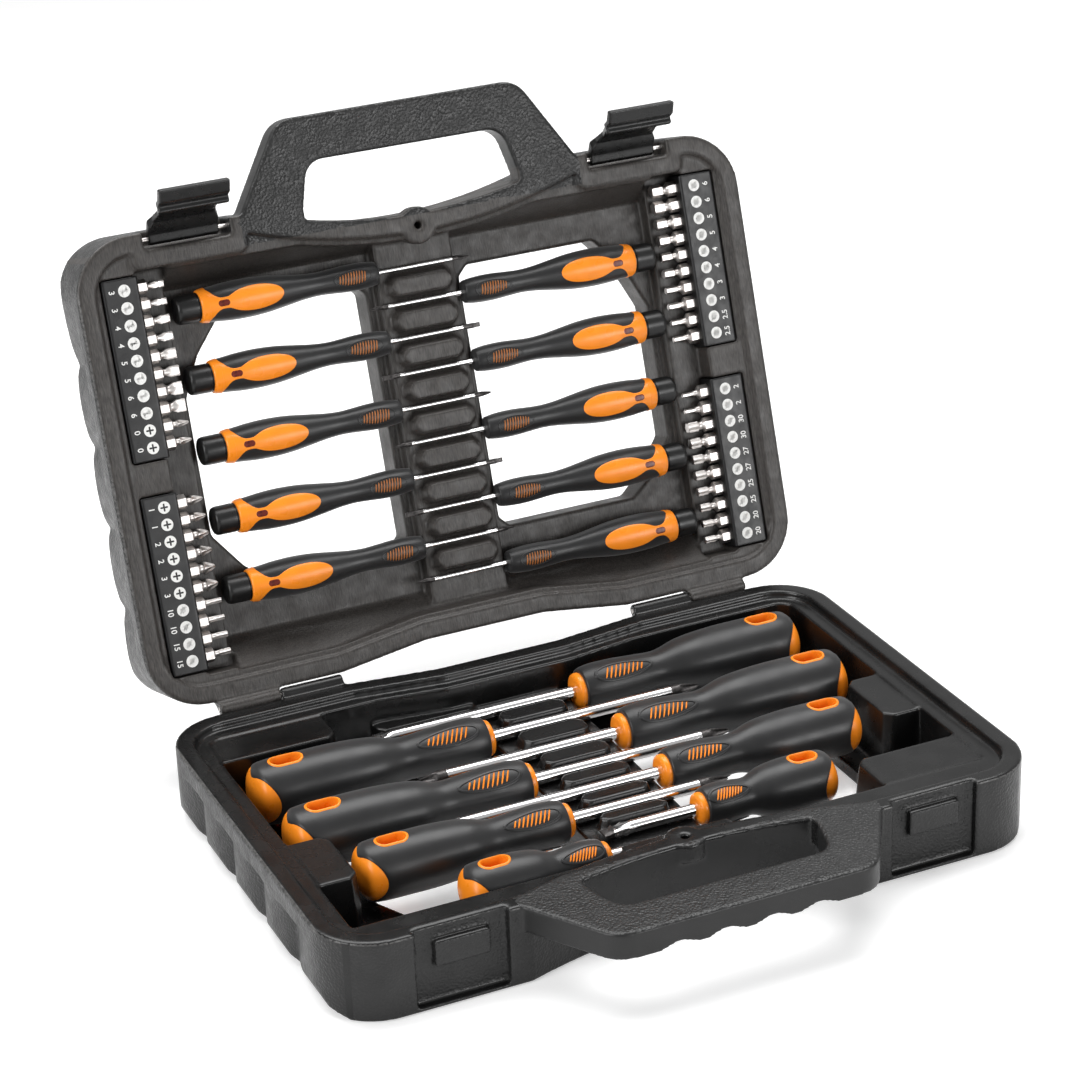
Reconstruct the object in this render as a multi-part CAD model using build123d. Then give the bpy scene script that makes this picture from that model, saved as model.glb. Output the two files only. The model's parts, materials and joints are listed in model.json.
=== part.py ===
from build123d import *
import os
from math import cos, pi, radians, sin

# Hard plastic tool case, standing open, with ten precision drivers and forty bits in its lid
# and eight screwdrivers in its base. Millimetres, +Z up, handle towards -Y, hinge towards +Y.
# The origin is the centre of the base's flat underside.
#
# Both halves are drawn in one tray frame: x across, y from the hinge line to the handle, and z
# out of the tray, with the parting plane at z = 0. LID and BASE put that frame in its place.

# --- case ---
WIDTH = 340.0
DEPTH = 224.5  # from the hinge line to the front wall
HALF_HEIGHT = 38.5
OPEN_ANGLE = 108.0  # lid, from closed to its stop
RIM_GAP = 0.15  # each rim stands this far back from the parting plane
CORNER = 28.0
BACK_EDGE = 3.5  # hinge line to the back wall
NOTCH_DEPTH = 6.0  # middle of the back wall, set further in
NOTCH_HALF = 31.0
NOTCH_BLEND = 75.0
FRONT_DIP = 13.5  # front wall, bowed in behind the handle
FRONT_DIP_HALF = 82.0
RIM_WIDTH = 9.0
LID_WALL = 12.0  # outside face to the tray's inner wall
BASE_WALL = 14.5

# --- flutes on the side walls ---
FLUTE_TOP = 10.0
FLUTE_PITCH = 39.0
FLUTE_FIRST = 51.0
FLUTE_COUNT = 4
FLUTE_DEPTH = 4.5

# --- carrying handle, half on each shell ---
HANDLE_THICK = 12.7
HANDLE_REACH = 264.6
HANDLE_GRIP_INNER = 243.5
HANDLE_ROOT_HALF = 86.0  # half width where it leaves the front wall
HANDLE_TOP_HALF = 61.2
HANDLE_CORNER = 14.0
HANDLE_FOOT = 205.0  # how far back its roots are drawn, into the front wall
HAND_ROOT_HALF = 55.0  # half width of the opening for the hand
HAND_TOP_HALF = 49.6
HAND_CORNER = 10.0
HAND_FOOT = 195.0  # as for the handle, for its opening
HAND_BEND = 222.0  # the opening's sides start to close in here
FINGER_R = 16.0  # scallops for the fingers, on the outer face of the bar
FINGER_CUT = 2.2
FINGER_PITCH = 22.0
FINGER_COUNT = 4
CURVE_SIDES = 18  # flats of a full turn, on the scallops and the latches' necks

# --- hinge ---
PIN_R = 1.2
PIN_PLAY = 0.05
KNUCKLE_R = 3.2
HINGE_FROM = 77.0
HINGE_MID = 108.0  # the base's knuckle ends here and the lid's begins
HINGE_TO = 139.0
KNUCKLE_GAP = 0.4
STOP_REACH = 12.0
STOP_GAP = 0.12

# --- latches ---
LATCH_MID = 113.0
LATCH_WIDTH = 34.0
LATCH_RECESS_HALF = 21.2
LATCH_REST = 20.0  # degrees swung out from closed
PIVOT_Y = 220.5
PIVOT_DEPTH = 8.0
NECK_R = 22.0  # the latch's narrow neck, between its barrel and its lip
NECK_CUT = 3.0
NECK_Z = 9.0
CATCH_HALF = 12.5
CATCH_TOP = 6.5
CATCH_BOTTOM = 18.5

# --- trays ---
LID_FLOOR = 21.7
BASE_FLOOR = 31.5
WINDOW_INNER = 24.5
WINDOW_OUTER = 121.0
WINDOW_BACK = 52.0
WINDOW_FRONT = 181.0
WINDOW_CUT = 5.0  # its corners, cut off
BOSS_Y = 205.0  # round pad in the middle of the front rim
BOSS_R = 9.0
BULGE_LENGTH = 2 * LATCH_RECESS_HALF + 14  # wider stretches of the lid's rim, behind the latches
BULGE_Y = 212.6
BULGE_WIDTH = 9.8
BULGE_CORNER = 4.0
BULGE_TOP = 2.7
PAD_TOP = 5.0  # raised pads in the base's tray, below the parting plane
LEDGE_TOP = 16.0  # the low one at the back
PAD_CORNER = 4.0
PAD_INSET = 1.8  # top of a pad, set in from its foot
BLOCK_INSET = 1.6  # top of a block, set in from its foot
BLOCK_CORNER = 3.0

# --- bits and their holders, in the lid ---
HOLDER_FROM = 139.5
HOLDER_WIDTH = 17.8
HOLDER_LENGTH = 85.0
HOLDER_TOP = 2.5
HOLDER_THICK = 13.0
HOLDER_STARTS = {"lower": 19.0, "upper": 120.5}
BIT_PITCH = 8.15
BIT_COUNT = 10
BIT_FLATS = 6.2
BIT_DEPTH = 9.0  # bit axis below the parting plane
BIT_PLAY = 0.05

# --- precision drivers, in the lid ---
PRECISION_PITCH = 33.35
PRECISION_COUNT = 5
PRECISION_FIRST = {"left": 185.8, "right": 169.1}
PRECISION_DEPTH = 12.0
PRECISION_FRONT = 21.0
PRECISION_GRIP = 90.0
PRECISION_CAP = 11.4
PRECISION_BLADE = 48.0
PRECISION_BLADE_R = 1.25
SPINDLE_R = 1.9  # the cap's spindle: square, with its corners turned round
SPINDLE_FLATS = 2.9

# --- screwdrivers, in the base ---
DRIVER_DEPTH = 15.0
BLADE_R = 3.0

# Turned pieces are drawn with this many flat facets, within 0.4 mm of round.
GRIP_SIDES = 10
SLIM_SIDES = 8
PIN_SIDES = 8

OPEN = radians(OPEN_ANGLE)
HINGE_LINE = (0, DEPTH / 2, HALF_HEIGHT)
LID = Plane(origin=HINGE_LINE, x_dir=(1, 0, 0), z_dir=(0, -sin(OPEN), -cos(OPEN)))
BASE = Plane(origin=HINGE_LINE, x_dir=(-1, 0, 0), z_dir=(0, 0, 1))
SIGN = {"left": -1, "right": 1}


def save(node, shape):
    export_step(shape, f"parts/{node}.step")


def block(x0, x1, y0, y1, z0, z1):
    """A box between two corners."""
    centre = Pos((x0 + x1) / 2, (y0 + y1) / 2, (z0 + z1) / 2)
    return centre * Box(abs(x1 - x0), abs(y1 - y0), abs(z1 - z0))


def plate(points, z0, z1):
    """A flat outline extruded from z0 to z1."""
    return Pos(0, 0, z0) * extrude(make_face(Polyline(*points, close=True)), z1 - z0)


def prism_x(points, x0, x1):
    """An outline in y and z, extruded from x0 to x1."""
    face = Plane.YZ.offset(x0) * make_face(Polyline(*points, close=True))
    return extrude(face, x1 - x0, dir=(1, 0, 0))


def rod_x(radius, x0, x1, y, z):
    """A round rod along x."""
    face = Plane(origin=(x0, y, z), x_dir=(0, 1, 0), z_dir=(1, 0, 0)) * Circle(radius)
    return extrude(face, x1 - x0, dir=(1, 0, 0))


def mirrored(shape):
    """The shape and its copy on the other side of the case."""
    return [shape, mirror(shape, Plane.YZ)]


def faceted(rings):
    """A closed form with flat facets through rings that have the same number of corners."""
    faces = [Face(Wire.make_polygon(rings[0])), Face(Wire.make_polygon(rings[-1]))]
    for low, high in zip(rings, rings[1:]):
        for k in range(len(low)):
            faces.append(Face(Wire.make_polygon([low[k - 1], low[k], high[k], high[k - 1]])))
    return Solid(Shell(faces))


def ring_x(x, radii, sides):
    """Corners round the x axis, at radii taken in turn."""
    angles = [2 * pi * k / sides for k in range(sides)]
    return [(x, radii[k % len(radii)] * cos(a), radii[k % len(radii)] * sin(a)) for k, a in enumerate(angles)]


def turned(sections, sides):
    """A turned form along x, from (x, radius) sections, its facets astride the circle."""
    swell = 2 / (1 + cos(pi / sides))
    return faceted([ring_x(x, [r * swell], sides) for x, r in sections])


# ---------------------------------------------------------------- shells


def back_edge():
    """The back wall's line, with the shallow notch in its middle, from right to left."""
    y = BACK_EDGE
    notch = BACK_EDGE + NOTCH_DEPTH
    x = WIDTH / 2 - CORNER
    return Polyline(
        (x, y), (NOTCH_BLEND, y), (NOTCH_HALF, notch), (-NOTCH_HALF, notch), (-NOTCH_BLEND, y), (-x, y)
    )


def front_edge():
    """The front wall's line, bowed in behind the handle, from left to right."""
    x = WIDTH / 2 - CORNER
    return [
        Line((-x, DEPTH), (-FRONT_DIP_HALF, DEPTH)),
        ThreePointArc((-FRONT_DIP_HALF, DEPTH), (0, DEPTH - FRONT_DIP), (FRONT_DIP_HALF, DEPTH)),
        Line((FRONT_DIP_HALF, DEPTH), (x, DEPTH)),
    ]


def corner_arcs():
    """The four corners of the outline."""
    x = WIDTH / 2 - CORNER
    slant = CORNER * sin(pi / 4)
    arcs = []
    for sign in (-1, 1):
        for y, way in ((BACK_EDGE + CORNER, -1), (DEPTH - CORNER, 1)):
            arcs.append(
                ThreePointArc(
                    (sign * (x + CORNER), y),
                    (sign * (x + slant), y + way * slant),
                    (sign * x, y + way * CORNER),
                )
            )
    return arcs


def side_line(sign, fluted):
    """A side wall's line, straight or with its row of shallow flutes."""
    x = sign * WIDTH / 2
    start, end = BACK_EDGE + CORNER, DEPTH - CORNER
    if not fluted:
        return [Line((x, start), (x, end))]
    valley = x - sign * FLUTE_DEPTH
    valleys = [FLUTE_FIRST + k * FLUTE_PITCH for k in range(FLUTE_COUNT)]
    middle = x - sign * FLUTE_DEPTH * 0.3
    lines = [ThreePointArc((x, start), (middle, (start + valleys[0]) / 2), (valley, valleys[0]))]
    for low, high in zip(valleys, valleys[1:]):
        lines.append(ThreePointArc((valley, low), (x, (low + high) / 2), (valley, high)))
    lines.append(ThreePointArc((valley, valleys[-1]), (middle, (valleys[-1] + end) / 2), (x, end)))
    return lines


def outline(fluted=False):
    """The case's outline seen from above its tray."""
    edges = [back_edge(), *front_edge(), *corner_arcs()]
    for sign in (-1, 1):
        edges += side_line(sign, fluted)
    return make_face(edges)


def outer_body():
    """One half before its tray is cut: a plain band at the rim, flutes below, outer edge turned in."""
    band = Pos(0, 0, -FLUTE_TOP) * extrude(outline(), FLUTE_TOP - RIM_GAP)
    fluted = Pos(0, 0, -HALF_HEIGHT) * extrude(outline(fluted=True), HALF_HEIGHT - FLUTE_TOP)
    half = WIDTH / 2
    turned_in = [(-half, 0), (-half, -29), (-half + 2.5, -35), (-half + 9, -HALF_HEIGHT)]
    section = turned_in + [(-x, z) for x, z in reversed(turned_in)]
    face = Plane.XZ * make_face(Polyline(*section, close=True))
    sides = extrude(face, DEPTH + 5, dir=(0, 1, 0))
    back = [(0, 0), (0, -30), (BACK_EDGE + 3, -36), (BACK_EDGE + 9, -HALF_HEIGHT)]
    front = [(DEPTH + 1, -HALF_HEIGHT), (DEPTH + 1, 0)]
    return (band + fluted) & sides & prism_x(back + front, -half - 1, half + 1)


def rounded(points, spots, radius):
    """A flat outline with the corners at some spots rounded."""
    face = make_face(Polyline(*points, close=True))
    corners = [v for v in face.vertices() if any(abs(v.X - x) + abs(v.Y - y) < 0.01 for x, y in spots)]
    return fillet(corners, radius)


def finger_scallops():
    """Cutters for the shallow scallops along the outer face of the handle's bar."""
    middle = (HANDLE_GRIP_INNER + HANDLE_REACH) / 2
    z = -HANDLE_THICK - FINGER_R + FINGER_CUT
    places = [(k - (FINGER_COUNT - 1) / 2) * FINGER_PITCH for k in range(FINGER_COUNT)]
    cutter = extrude(Plane.XZ * RegularPolygon(FINGER_R, CURVE_SIDES), 20, both=True)
    return [Pos(x, middle, z) * cutter for x in places]


def handle():
    """Half of the carrying handle, with its opening."""
    tops = [(-HANDLE_TOP_HALF, HANDLE_REACH), (HANDLE_TOP_HALF, HANDLE_REACH)]
    hand_tops = [(-HAND_TOP_HALF, HANDLE_GRIP_INNER), (HAND_TOP_HALF, HANDLE_GRIP_INNER)]
    root, hand_root = HANDLE_ROOT_HALF, HAND_ROOT_HALF
    bow = [(-root, HANDLE_FOOT), (-root, DEPTH), *tops, (root, DEPTH), (root, HANDLE_FOOT)]
    hand = [(-hand_root, HAND_FOOT), (-hand_root, HAND_BEND), *hand_tops]
    hand += [(hand_root, HAND_BEND), (hand_root, HAND_FOOT)]
    outer = rounded(bow, tops, HANDLE_CORNER)
    inner = rounded(hand, hand_tops, HAND_CORNER)
    half = Pos(0, 0, -HANDLE_THICK) * extrude(outer, HANDLE_THICK - RIM_GAP)
    half -= Pos(0, 0, -HANDLE_THICK - 1) * extrude(inner, HANDLE_THICK + 2)
    half -= finger_scallops()
    keep = block(-root - 1, root + 1, DEPTH - FRONT_DIP - 3, HANDLE_REACH + 1, -HANDLE_THICK - 1, 1)
    return half & keep


def window(side):
    """A window through a half's floor, under the grips of its drivers."""
    points = [
        (WINDOW_INNER, WINDOW_BACK + WINDOW_CUT),
        (WINDOW_INNER, WINDOW_FRONT - WINDOW_CUT),
        (WINDOW_INNER + WINDOW_CUT, WINDOW_FRONT),
        (97, WINDOW_FRONT),
        (112, 163),
        (WINDOW_OUTER, 144),
        (WINDOW_OUTER, 78),
        (108, 61),
        (97, WINDOW_BACK),
        (WINDOW_INNER + WINDOW_CUT, WINDOW_BACK),
    ]
    return plate([(side * x, y) for x, y in points], -HALF_HEIGHT - 1, 1)


def knuckle(x0, x1):
    """A hinge knuckle on each side of the case, on a web from the back wall."""
    web = [(-2.9, -1.2), (BACK_EDGE + 1.5, -10), (BACK_EDGE + 1.5, -0.6), (0, -0.6)]
    return mirrored(turned([(x0, KNUCKLE_R), (x1, KNUCKLE_R)], GRIP_SIDES) + prism_x(web, x0, x1))


def hinge_bores():
    return mirrored(rod_x(PIN_R + PIN_PLAY, HINGE_FROM - 1, HINGE_TO + 1, 0, 0))


def stop_heels():
    """Heels behind the lid's knuckles, which meet the base's back wall when the lid is open."""

    def stop_line(y):
        return (BACK_EDGE + cos(pi - OPEN) * y) / sin(OPEN) - STOP_GAP

    heel = [
        (0, KNUCKLE_R - 0.6),
        (-KNUCKLE_R, stop_line(-KNUCKLE_R)),
        (-STOP_REACH, stop_line(-STOP_REACH)),
        (-STOP_REACH, stop_line(-STOP_REACH) - 3),
        (0, -KNUCKLE_R + 0.2),
    ]
    return mirrored(prism_x(heel, HINGE_MID + 6, HINGE_TO - 4))


def screw_boss():
    """The round pad with its locating hole, in the middle of the front rim."""
    pad = Pos(0, BOSS_Y, -9) * extrude(RegularPolygon(BOSS_R, 2 * GRIP_SIDES), 9 - RIM_GAP)
    return pad, Pos(0, BOSS_Y, -9) * extrude(RegularPolygon(2, PIN_SIDES), 10)


def cut_corners(x0, x1, y0, y1, cut, z):
    """The eight corners of a rectangle with its corners cut off."""
    return [
        (x0 + cut, y0, z),
        (x1 - cut, y0, z),
        (x1, y0 + cut, z),
        (x1, y1 - cut, z),
        (x1 - cut, y1, z),
        (x0 + cut, y1, z),
        (x0, y1 - cut, z),
        (x0, y0 + cut, z),
    ]


def tapered_pad(x0, x1, y0, y1, root, top, inset, cut):
    """A raised pad with its corners cut off, its top set in from its foot."""
    foot = cut_corners(x0, x1, y0, y1, cut, -root)
    return faceted([foot, cut_corners(x0 + inset, x1 - inset, y0 + inset, y1 - inset, cut, -top)])


def blocks(blade_rows, half_width, clearance, root, top):
    """The tapered blocks between neighbouring blades."""
    shapes = []
    for low, high in zip(blade_rows, blade_rows[1:]):
        ends = (-half_width, half_width, low + clearance, high - clearance)
        shapes.append(tapered_pad(*ends, root, top, BLOCK_INSET, BLOCK_CORNER))
    return shapes


def rim_step(depth):
    """The lowered ledge inside the rim."""
    return Pos(0, 0, -depth) * extrude(offset(outline(), -RIM_WIDTH), depth + 1)


def latch_recess(depth, y):
    """The recess in the front wall that a latch lies in."""
    low, high = LATCH_MID - LATCH_RECESS_HALF, LATCH_MID + LATCH_RECESS_HALF
    return mirrored(block(low, high, y, DEPTH + 2, -depth, 1))


def latch_catches():
    """The raised pads on the base that the latches hook over."""
    low, high = LATCH_MID - CATCH_HALF, LATCH_MID + CATCH_HALF
    return mirrored(block(low, high, PIVOT_Y - 3, DEPTH, -CATCH_BOTTOM, -CATCH_TOP))


def rim_bulges():
    """The wider stretches of the lid's rim, behind the latches."""
    stretch = Pos(LATCH_MID, BULGE_Y) * RectangleRounded(BULGE_LENGTH, BULGE_WIDTH, BULGE_CORNER)
    return mirrored(Pos(0, 0, -BULGE_TOP) * extrude(stretch, BULGE_TOP - RIM_GAP))


def lid_shell():
    shell = outer_body() + handle()
    slope = [(15, 1), (15, -3), (29, -LID_FLOOR), (196, -LID_FLOOR), (206, -6), (206, 1)]
    shell -= rim_step(2.5)
    shell -= prism_x(slope, -125, 125) & (Pos(0, 0, -30) * extrude(offset(outline(), -LID_WALL), 35))
    for side in (-1, 1):
        shell -= window(side)
        shell -= block(side * 124, side * (HOLDER_FROM + 1), 17, 207.5, -14, 1)
        for start in HOLDER_STARTS.values():
            inner, outer = side * (HOLDER_FROM - 0.3), side * (HOLDER_FROM + HOLDER_WIDTH + 0.4)
            depth = HOLDER_TOP + HOLDER_THICK + 0.3
            shell -= block(inner, outer, start - 0.5, start + HOLDER_LENGTH + 0.5, -depth, 1)
    spine = block(-20, 20, 20, 200, -LID_FLOOR - 1, -14)
    pitches = [k * PRECISION_PITCH for k in range(PRECISION_COUNT)]
    blade_rows = sorted(first - pitch for first in PRECISION_FIRST.values() for pitch in pitches)
    pad, hole = screw_boss()
    shell += [spine, pad, *blocks(blade_rows, 17, 2.6, 14.5, 8), *rim_bulges()]
    shell -= [*latch_recess(PIVOT_DEPTH * 2, PIVOT_Y - 4), hole]
    shell += [*knuckle(HINGE_MID + KNUCKLE_GAP, HINGE_TO), *stop_heels()]
    shell -= hinge_bores()
    shell -= mirrored(latch_pin(PIN_R + PIN_PLAY, 0.2))
    return shell


def base_pads():
    """Raised pads that fill the tray beside the shorter grips, and the low ledge at its back."""
    places = [
        (132, 162, 122, 164, PAD_TOP),
        (-162, -134, 104, 147, PAD_TOP),
        (-162, -100, 172, 216, PAD_TOP),
        (94, 162, 10, 42.5, PAD_TOP),
        (18, 72, 12, 30, LEDGE_TOP),
    ]
    return [tapered_pad(*ends, BASE_FLOOR + 1, top, PAD_INSET, PAD_CORNER) for *ends, top in places]


def base_shell():
    shell = outer_body() + handle()
    slope = [(19, 1), (19, -8), (21, -BASE_FLOOR), (197, -BASE_FLOOR), (201, -8), (201, 1)]
    shell -= rim_step(4)
    shell -= prism_x(slope, -153, 153) & (Pos(0, 0, -35) * extrude(offset(outline(), -BASE_WALL), 40))
    shell += base_pads()
    for side in (-1, 1):
        shell -= window(side)
    blade_rows = [row for _, row, *_ in SCREWDRIVERS]
    spine = block(-25, 25, 19, 202, -BASE_FLOOR - 1, -18.4)
    pad, hole = screw_boss()
    front_pad = block(-26, 26, 195, 204, -BASE_FLOOR - 1, -3)
    shell += [spine, front_pad, pad, *blocks(blade_rows[:-1], 18, 4.2, 18.9, 12.3)]
    shell -= [*latch_recess(HALF_HEIGHT - 2, PIVOT_Y), hole]
    shell += latch_catches()
    shell += knuckle(HINGE_FROM, HINGE_MID)
    shell -= hinge_bores()
    return shell


# ---------------------------------------------------------------- latches and pins


def latch_pin(radius, extra):
    """The pin that a latch turns on."""
    reach = LATCH_RECESS_HALF + 3 + extra
    return rod_x(radius, LATCH_MID - reach, LATCH_MID + reach, PIVOT_Y, -PIVOT_DEPTH)


def latch():
    """A latch, closed: a barrel on its pin, a neck, a broad plate with an inner hook, and a thick lip."""
    inner, outer = DEPTH + 0.6, DEPTH + 3.6
    points = [
        (PIVOT_Y - 2.6, -PIVOT_DEPTH + 1.4),
        (PIVOT_Y - 2.6, -PIVOT_DEPTH - 1.4),
        (PIVOT_Y - 1, -PIVOT_DEPTH - 2.8),
        (PIVOT_Y + 1.6, -PIVOT_DEPTH - 2.6),
        (outer - 0.6, -3),
        (outer, 1),
        (outer, 23),
        (outer + 3.4, 27.5),
        (outer + 1.2, 30.5),
        (inner, 26),
        (inner, CATCH_BOTTOM + 3.2),
        (DEPTH - 2.2, CATCH_BOTTOM + 3.2),
        (DEPTH - 2.2, CATCH_BOTTOM + 0.4),
        (inner, CATCH_BOTTOM + 0.4),
        (inner, 2),
        (PIVOT_Y + 0.6, -PIVOT_DEPTH + 3.4),
    ]
    low, high = LATCH_MID - LATCH_WIDTH / 2, LATCH_MID + LATCH_WIDTH / 2
    shape = prism_x(points, low, high) - rod_x(PIN_R + PIN_PLAY, low - 1, high + 1, PIVOT_Y, -PIVOT_DEPTH)
    cutter = extrude(Plane.XZ * RegularPolygon(NECK_R, CURVE_SIDES), 20, both=True)
    for x in (low - NECK_R + NECK_CUT, high + NECK_R - NECK_CUT):
        shape -= Pos(x, DEPTH, NECK_Z) * cutter
    return shape


def latch_at_rest():
    pivot = Axis((0, PIVOT_Y, -PIVOT_DEPTH), (1, 0, 0))
    return latch().rotate(pivot, -LATCH_REST)


# ---------------------------------------------------------------- bits


def tip(kind, size, x0, x1):
    """A drive tip along x: flat, cross, star or hex, for the given nominal width."""
    r = size / 2
    if kind == "flat":
        side = Polyline((x0, -r * 0.9), (x1, -0.5), (x1, 0.5), (x0, r * 0.9), close=True)
        return extrude(Plane.XZ * make_face(side), r, both=True)
    if kind == "hex":
        return extrude(Plane.YZ.offset(x0) * RegularPolygon(r, 6, major_radius=False), x1 - x0, dir=(1, 0, 0))
    lobes, root, taper = {"cross": (4, 0.55, 0.4), "star": (6, 0.78, 1.0)}[kind]
    rings = [ring_x(x, [outer, outer * root], 2 * lobes) for x, outer in ((x0, r), (x1, r * taper))]
    return faceted(rings)


BIT_SETS = {
    ("left", "upper"): [("cross", 3.6)] * 2 + [("flat", w) for w in (6, 6, 5, 5, 4, 4, 3, 3)],
    ("left", "lower"): [("star", w) for w in (3.3, 3.3, 2.8, 2.8)]
    + [("cross", w) for w in (6, 6, 5.2, 5.2, 4.4, 4.4)],
    ("right", "upper"): [("hex", w) for w in (2.5, 2.5, 3, 3, 4, 4, 5, 5, 6, 6)],
    ("right", "lower"): [("star", w) for w in (3.9, 3.9, 4.5, 4.5, 5.1, 5.1, 5.6, 5.6)]
    + [("hex", 2)] * 2,
}


def bit(kind, size):
    """A short bit along x, from the closed end of its hole to its tip."""
    shank_end = 21.0
    shank = extrude(Plane.YZ * RegularPolygon(BIT_FLATS / 2, 6, major_radius=False), shank_end, dir=(1, 0, 0))
    return shank + tip(kind, min(size, BIT_FLATS), shank_end - 0.5, 26.0)


def bit_rows(start):
    """The places of ten bits along a holder."""
    margin = (HOLDER_LENGTH - (BIT_COUNT - 1) * BIT_PITCH) / 2
    return [start + margin + k * BIT_PITCH for k in range(BIT_COUNT)]


def bits(side, level):
    """Ten bits in their holder, tips towards the middle of the lid."""
    turn = Rot(0, 0, 180) if side == "right" else Rot()
    x = SIGN[side] * (HOLDER_FROM + 12.5)
    rows = bit_rows(HOLDER_STARTS[level])
    return [Pos(x, y, -BIT_DEPTH) * turn * bit(*spec) for y, spec in zip(rows, BIT_SETS[side, level])]


def bit_holder(side, level):
    """A moulded strip with ten hexagonal holes in its inner side."""
    sign = SIGN[side]
    inner, outer = sign * HOLDER_FROM, sign * (HOLDER_FROM + HOLDER_WIDTH)
    start = HOLDER_STARTS[level]
    body = block(inner, outer, start, start + HOLDER_LENGTH, -HOLDER_TOP - HOLDER_THICK, -HOLDER_TOP)
    body = chamfer(body.edges().filter_by(Axis.Y).group_by(Axis.Z)[-1], 0.8)
    hole = Plane.YZ.offset(-0.1) * RegularPolygon(BIT_FLATS / 2 + BIT_PLAY, 6, major_radius=False)
    cutter = extrude(hole, 14, dir=(1, 0, 0))
    turn = Rot(0, 0, 180) if side == "right" else Rot()
    x = sign * (HOLDER_FROM + 12.5)
    return body - [Pos(x, y, -BIT_DEPTH) * turn * cutter for y in bit_rows(start)]


# ---------------------------------------------------------------- drivers


def bored_grip(sections, sides, length, tang):
    """A turned grip with the square socket of its blade's tang."""
    grip = turned(sections, sides)
    return grip - block(length - 30, length + 1, -tang / 2, tang / 2, -tang / 2, tang / 2)


def precision_grip():
    """Slim grip along x, collar at x = 0: belly, waist and a ribbed front."""
    length = PRECISION_GRIP
    sections = [(0, 7.7), (14, 8.9), (27, 9.1), (56, 5.6), (74, 6.4), (length, 5.8)]
    grip = bored_grip(sections, SLIM_SIDES, length, 1.6)
    grip -= extrude(Plane.YZ.offset(-1) * RegularPolygon(2.1, PIN_SIDES), 9, dir=(1, 0, 0))
    return grip - block(9.5, 14, -1.3, 1.3, -12, 12)


def precision_cap():
    """The cap that turns on the end of a precision grip, with its spindle."""
    end = -PRECISION_CAP
    cap = turned([(end, 5.9), (end + 1.2, 6.6), (-0.2, 6.6)], SLIM_SIDES)
    spindle = Circle(SPINDLE_R) & Rectangle(SPINDLE_FLATS, SPINDLE_FLATS)
    return cap + extrude(Plane.YZ.offset(-0.5) * spindle, 8, dir=(1, 0, 0))


def blade(radius, start, end, tang, kind, width, tip_length):
    """A blade with a square tang in its grip and a flat or cross tip."""
    shaft = turned([(start, radius), (end - tip_length, radius)], PIN_SIDES)
    inside = block(start - 28, start + 0.5, -tang / 2, tang / 2, -tang / 2, tang / 2)
    return shaft + inside + tip(kind, width, end - tip_length - 0.5, end)


def driver_grip(length, radius):
    """Large grip along x from its butt: domed end, belly, waist and swelling front."""
    front, waist = radius * 0.8, radius * 0.7
    sections = [
        (0, radius * 0.6),
        (3.5, radius * 0.88),
        (10, radius * 0.98),
        (length * 0.38, radius),
        (length * 0.52, radius * 0.88),
        (length * 0.66, waist),
        (length * 0.84, front),
        (length - 3.5, front * 0.9),
        (length, front * 0.7),
    ]
    grip = bored_grip(sections, GRIP_SIDES, length, 4)
    half, wide = 6.5, 3
    hole = [(-half, -1), (-half + 2, -wide), (half - 2, -wide), (half, -1)]
    hole += [(x, -y) for x, y in reversed(hole)]
    return grip - Pos(length * 0.16, 0, 0) * plate(hole, -20, 20)


# side, row, butt's distance from the middle, grip length, grip radius, blade tip past the middle, kind, width
SCREWDRIVERS = [
    ("right", 37.0, 147, 120, 15.2, 81, "flat", 8),
    ("left", 59.5, 147, 120, 15.2, 82, "cross", 6),
    ("right", 83.5, 147, 120, 15.2, 75, "cross", 6),
    ("left", 106.0, 147, 120, 15.2, 74, "cross", 6),
    ("right", 126.5, 130, 103, 14.0, 86, "flat", 6.5),
    ("left", 146.0, 130, 103, 14.0, 52, "cross", 5),
    ("right", 164.5, 96, 70, 13.0, 20, "flat", 6.5),
    ("left", 183.0, 96, 70, 13.0, 13, "cross", 6),
]


def save_base_drivers():
    numbers = {"left": 0, "right": 0}
    for side, row, butt, length, radius, reach, kind, width in SCREWDRIVERS:
        numbers[side] += 1
        name = f"screwdriver_{side}_{numbers[side]}"
        turn = Rot(0, 0, 180) if side == "left" else Rot()
        place = Pos(-SIGN[side] * butt, row, -DRIVER_DEPTH) * turn
        put = BASE.location * place
        save(f"{name}_grip", put * driver_grip(length, radius))
        save(f"{name}_blade", put * blade(BLADE_R, length, butt + reach, 3.9, kind, width, 12))


def save_lid_drivers():
    end = PRECISION_GRIP + PRECISION_BLADE
    for side, first in PRECISION_FIRST.items():
        turn = Rot(0, 0, 180) if side == "right" else Rot()
        collar = SIGN[side] * (PRECISION_FRONT + PRECISION_GRIP)
        for k in range(PRECISION_COUNT):
            name = f"precision_{side}_{k + 1}"
            put = LID.location * Pos(collar, first - k * PRECISION_PITCH, -PRECISION_DEPTH) * turn
            kind = "flat" if k % 2 else "cross"
            save(f"{name}_grip", put * precision_grip())
            save(f"{name}_cap", put * precision_cap())
            save(f"{name}_blade", put * blade(PRECISION_BLADE_R, PRECISION_GRIP, end, 1.5, kind, 2, 8))


def save_case():
    save("base_shell", BASE.location * base_shell())
    save("lid_shell", LID.location * lid_shell())
    right = latch_at_rest()
    save("latch_right", LID.location * right)
    save("latch_left", LID.location * mirror(right, Plane.YZ))
    hinge_pins = [BASE.location * pin for pin in mirrored(rod_x(PIN_R, HINGE_FROM, HINGE_TO, 0, 0))]
    latch_pins = [LID.location * pin for pin in mirrored(latch_pin(PIN_R, 0))]
    save("hinge_pins", Compound(hinge_pins))
    save("latch_pins", Compound(latch_pins))


def save_bits():
    for side, level in BIT_SETS:
        save(f"bit_holder_{side}_{level}", LID.location * bit_holder(side, level))
        save(f"bits_{side}_{level}", Compound([LID.location * one for one in bits(side, level)]))


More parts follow.
